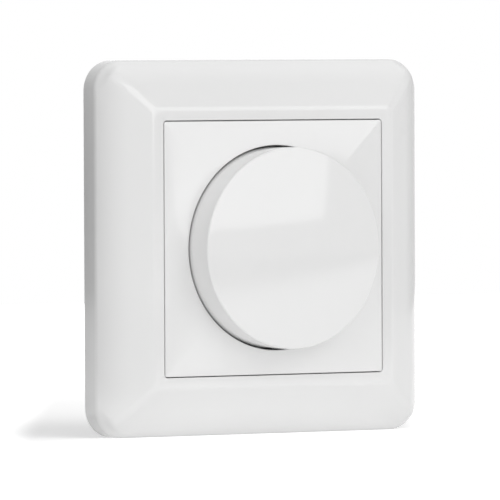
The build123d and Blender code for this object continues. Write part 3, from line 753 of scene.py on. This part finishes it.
def bowed_blade():
    """Contact blade, bowed up between its two feet as it stands before the knob is pushed."""
    low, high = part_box("contact_blade")
    reach = high.x / MM
    foot = -high.y / MM + blade_thickness / 2
    crown = -low.y / MM - blade_thickness / 2
    span, bow = reach - blade_foot, crown - foot
    radius = (span**2 + bow**2) / (2 * bow)
    lean = math.asin(span / radius)
    arch = arc((0, crown - radius), radius, RIGHT_ANGLE + lean, RIGHT_ANGLE - lean, ARCH_STEPS)
    path = [place(across, height, 0) for across, height in [(-reach, foot), *arch, (reach, foot)]]
    half_width, half_thickness = high.z / MM, blade_thickness / 2
    narrow, thin = half_width - blade_ease, half_thickness - blade_ease
    quarter = [(half_width, thin), (narrow, half_thickness)]
    outline = quarter + [(-across, above) for across, above in quarter[::-1]]
    outline += [(-across, -above) for across, above in outline]
    shape = bmesh.new()
    add_skin(shape, sweep(path, UP, outline))
    piece = add_piece("bowed_blade", shape, "base", "spring_bronze", "contact_blade")
    push = next(joint for joint in frame["record"]["behaviour"]["joints"] if joint["name"] == "knob_push")
    left_over = 1 - push["range_m"][1] / (high.y - low.y)
    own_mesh(piece)


def thread_section(radius, tip, slot_floor):
    """Section of a threaded rod from its tip to the floor of its slot."""
    section = [(radius - screw_ease, tip), (radius, tip - screw_ease)]
    crest = tip - 2 * screw_ease
    while crest > slot_floor + thread_pitch:
        section += [(radius, crest), (radius - thread_depth, crest - thread_pitch / 2)]
        crest -= thread_pitch
    return section + [(radius, slot_floor + screw_ease), (radius, slot_floor)]


def slotted_screws():
    """Terminal screws with a thread and a slot in their back ends."""
    low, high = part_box("terminal_screws")
    radius = (high.z - low.z) / MM / 2
    pitch = ((high.x - low.x) / MM - 2 * radius) / (screw_count - 1)
    tip = -low.y / MM
    slot_floor = -high.y / MM + screw_slot_depth
    slot_angle = math.asin(screw_slot_width / 2 / radius)
    rings = [[place(0, tip, 0)]]
    for half, height in thread_section(radius, tip, slot_floor):
        rings.append(even_circle(half, height, steps=SCREW_STEPS))
    rings.append([place(0, slot_floor, 0)])
    shape = bmesh.new()
    for index in range(screw_count):
        middle = place(low.x / MM + radius + index * pitch, 0, (low.z + high.z) / MM / 2)
        add_skin(shape, [[point + middle for point in ring] for ring in rings])
        for start in (slot_angle, math.pi + slot_angle):
            end = start + math.pi - 2 * slot_angle
            cheek = arc((0, 0), radius, start, end, SCREW_STEPS // 2)
            outline = [place(across, slot_floor, up) + middle for across, up in cheek]
            add_prism(shape, outline, place(0, -screw_slot_depth, 0))
    add_piece("slotted_screws", shape, "base", "zinc_steel", "terminal_screws")


def choke_turns():
    """Enamelled wire wound round the choke's core in one layer."""
    low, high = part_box("choke_winding")
    wire = (high.y - low.y) / MM / (2 * (winding_turns + 1))
    half = (high.x - low.x) / MM / 2 - wire
    once = square_ring(half, winding_corner - wire, 0)
    start = Vector(((low.x + high.x) / 2, low.y + wire * MM, (low.z + high.z) / 2))
    rise = INTO_WALL * (2 * wire * MM / len(once))
    path = [start + once[step % len(once)] + rise * step for step in range(winding_turns * len(once) + 1)]
    shape = bmesh.new()
    add_skin(shape, sweep(path, INTO_WALL, circle(wire, WIRE_STEPS)))
    add_piece("choke_turns", shape, "base", "copper_wire", "choke_winding")


def ease_edges(name, width):
    """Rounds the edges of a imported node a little, as moulding and punching leave them."""
    node = frame["nodes"][name]
    weld = node.modifiers.new("weld", "WELD")
    weld.merge_threshold = WELD_REACH * MM
    ease = node.modifiers.new("eased_edges", "BEVEL")
    ease.width = width * MM
    ease.segments = EASE_SEGMENTS
    ease.limit_method = "ANGLE"
    ease.angle_limit = CREASE
    node.modifiers.new("even_normals", "WEIGHTED_NORMAL")


cover_frame()
dial_plate()
turning_knob()
bowed_blade()
slotted_screws()
choke_turns()
for name, width in eased_nodes.items():
    ease_edges(name, width)

# Studio and camera, in metres and degrees; azimuth 0 is straight in front and 90 is on the right
VIEW_AZIMUTH = -31.12
VIEW_ELEVATION = 1.41
AIM = place(0, ledge_height, 0)

# White sheet under the object. Far away and past the object's sides its glow to the camera rises to white,
# painted light that fades its shadow out there; reflections see it only up to its edge, with a dim room
# beyond
FLOOR_LEVEL = -half_frame * MM
SHEET_REACH = 0.8
SHEET_WHITE = 0.9
SHEET_GLOW = 0.13
SHADOW_GLOW = 0.52
FAR_FADE = (0.15, 0.40)
SIDE_FADE = (0.039, 0.050)
SIDE_FADE_MIDDLE = 0.006
SHEET_EDGE = (0.11, 0.26)
ROOM_SHINE = 0.25

# Dark card on the left
CARD_ASIDE = -0.072
CARD_DEPTHS = (-0.010, 0.070)
CARD_HEIGHTS = (-0.030, 0.050)
CARD_GREY = 0.08

# Leaning panel in front, on the right
PANEL_AZIMUTH = 15
PANEL_DISTANCE = 1.0
PANEL_LOW_EDGE = 0.022
PANEL_LEAN = math.radians(45)
PANEL_ROLL = math.radians(5)
PANEL_SIZE = (0.70, 0.62)
PANEL_RADIANCE = 1.55

# Level of the room in reflections, its brighter sides, and the soft lights;
# each side and light has an azimuth, an elevation, how closely it gathers and a level
SHINE_LEVEL = 0.6
SHINE_SIDES = (
    (70, 5, 16, 0.9),
    (160, 35, 3, 0.6),
    (95, 65, 8, 1.3),
)
SOFT_LIGHTS = (
    (-65, 20, 12, 0.62),
    (-88, 25, 12, 1.12),
    (-42, 12, 4, 0.57),
    (-50, 50, 4, 0.24),
    (-10, 10, 4, 0.15),
    (-10, 55, 4, 0.11),
    (70, 20, 4, 0.12),
    (110, 30, 4, 0.14),
    (0, 90, 4, 0.25),
    (15, 55, 12, 0.75),
)

# Camera fitted to the photograph's frame, rolled a little and aimed left of the object's middle
IMAGE_WIDTH = 500
VIEW_ROLL = math.radians(-0.255)
VIEW_DISTANCE = 1.7025
PIXELS_PER_MM = 4.6355
AIM_PIXEL = (274.3, 247.5)
SENSOR_WIDTH = 36.0


def towards(azimuth, elevation):
    """Unit vector from the object to a place round it."""
    a, e = math.radians(azimuth), math.radians(elevation)
    return Vector((math.sin(a) * math.cos(e), -math.cos(a) * math.cos(e), math.sin(e)))


def axes(right, up, back):
    """Turn that lays a thing's own axes along three directions."""
    return Matrix((right, up, back)).transposed().to_4x4()


def light_world():
    """White to the camera, a bright room to reflections, and soft light from several sides to the rest."""
    world = bpy.data.worlds.new("studio")
    world.use_nodes = True
    bpy.context.scene.world = world
    shader = Shader(world.node_tree)
    outward = shader.node("ShaderNodeTexCoord", output="Generated")

    def light(azimuth, elevation, gather, level):
        facing = shader.along(outward, towards(azimuth, elevation))
        return facing.at_least(0) ** gather * level

    camera, glossy, through = shader.rays()
    seen = camera + through
    shine = SHINE_LEVEL + sum(light(*side) for side in SHINE_SIDES)
    soft = sum(light(*side) for side in SOFT_LIGHTS)
    strength = seen + glossy * shine + (1 - seen - glossy) * soft
    background = shader.node("ShaderNodeBackground", None, {"Color": grey(1), "Strength": strength})
    shader.node("ShaderNodeOutputWorld", None, {"Surface": background})


def stage_sheet(name, corners, material):
    """Flat sheet that belongs to the studio."""
    shape = bmesh.new()
    shape.faces.new([shape.verts.new(corner) for corner in corners])
    mesh = bpy.data.meshes.new(name)
    shape.to_mesh(mesh)
    shape.free()
    mesh.materials.append(material)
    sheet = add_object(name, mesh)
    return sheet


def lay_sheet():
    """White sheet, lit a little from below as on a light table, that keeps the object's shadow near it;
    further out its glow to the camera is painted light that fades the shadow out.
    """
    material, shader = new_material("sheet")
    camera, glossy, through = shader.rays()
    spot = shader.place()
    ahead = shader.along(spot, towards(VIEW_AZIMUTH, 0))
    leftward = shader.along(spot, towards(VIEW_AZIMUTH - 90, 0))
    distance = shader.node("ShaderNodeVectorMath", {"operation": "LENGTH"}, {0: spot}, output="Value")
    # Painted light: far from the object and past its sides the glow shown to the camera rises to white and
    # paints out the shadow
    off_middle = abs(leftward - SIDE_FADE_MIDDLE)
    shadow = (1 - shader.ramp(distance, FAR_FADE)) * (1 - shader.ramp(off_middle, SIDE_FADE))
    shown = 1 - shadow * (1 - SHADOW_GLOW)
    brightness = SHEET_GLOW + (camera + through + glossy) * (shown - SHEET_GLOW)
    paper = shader.node("ShaderNodeBsdfDiffuse", None, {"Color": grey(SHEET_WHITE)})
    glow = shader.node("ShaderNodeEmission", None, {"Color": brightness})
    lit = shader.node("ShaderNodeAddShader", None, {0: paper, 1: glow})
    room = shader.node("ShaderNodeEmission", None, {"Color": grey(ROOM_SHINE)})
    past_edge = glossy * shader.ramp(ahead, SHEET_EDGE)
    mirrored = shader.node("ShaderNodeMixShader", None, {"Fac": past_edge, 1: lit, 2: room})
    shader.node("ShaderNodeOutputMaterial", None, {"Surface": mirrored})
    corners = [Vector((x, y, FLOOR_LEVEL)) for x, y in quarter_turns(SHEET_REACH, SHEET_REACH)]
    stage_sheet("sheet", corners, material)


def stand_card():
    """Dark card close beside the frame that keeps light off its left wall, and is itself not seen."""
    material, shader = new_material("card")
    dark = shader.node("ShaderNodeBsdfDiffuse", None, {"Color": grey(CARD_GREY)})
    shader.node("ShaderNodeOutputMaterial", None, {"Surface": dark})
    (near, far), (low, high) = CARD_DEPTHS, CARD_HEIGHTS
    outline = ((near, low), (far, low), (far, high), (near, high))
    card = stage_sheet("card", [Vector((CARD_ASIDE, y, z)) for y, z in outline], material)
    card.visible_camera = False
    card.visible_glossy = False


def hang_panel():
    """Soft panel that leans over the object: its low edge stands far in front, its high edge comes near."""
    lamp = bpy.data.lights.new("panel", "AREA")
    lamp.shape = "RECTANGLE"
    lamp.size, lamp.size_y = PANEL_SIZE
    lamp.energy = PANEL_RADIANCE * math.pi * PANEL_SIZE[0] * PANEL_SIZE[1]
    holder = add_object("panel", lamp)
    ahead = towards(PANEL_AZIMUTH, 0)
    aside = UP.cross(ahead)
    climb = UP * math.sin(PANEL_LEAN) - ahead * math.cos(PANEL_LEAN)
    middle = AIM + ahead * PANEL_DISTANCE + UP * PANEL_LOW_EDGE + climb * PANEL_SIZE[1] / 2
    turn = axes(aside, climb, aside.cross(climb)) @ Matrix.Rotation(PANEL_ROLL, 4, "Z")
    holder.matrix_world = Matrix.Translation(middle) @ turn


def set_camera():
    """Camera at the photograph's angle, distance and framing."""
    camera = bpy.data.cameras.new("camera")
    camera.sensor_width = SENSOR_WIDTH
    camera.lens = PIXELS_PER_MM * VIEW_DISTANCE / MM * SENSOR_WIDTH / IMAGE_WIDTH
    holder = add_object("camera", camera)
    back = towards(VIEW_AZIMUTH, VIEW_ELEVATION)
    level = UP.cross(back).normalized()
    right = level * math.cos(VIEW_ROLL) + back.cross(level) * math.sin(VIEW_ROLL)
    up = back.cross(right)
    aside = (AIM_PIXEL[0] - IMAGE_WIDTH / 2) / PIXELS_PER_MM * MM
    above = (IMAGE_WIDTH / 2 - AIM_PIXEL[1]) / PIXELS_PER_MM * MM
    stand = AIM + back * VIEW_DISTANCE - right * aside - up * above
    holder.matrix_world = Matrix.Translation(stand) @ axes(right, up, back)
    bpy.context.scene.camera = holder


light_world()
lay_sheet()
stand_card()
hang_panel()
set_camera()
bpy.context.scene.view_settings.view_transform = "Standard"
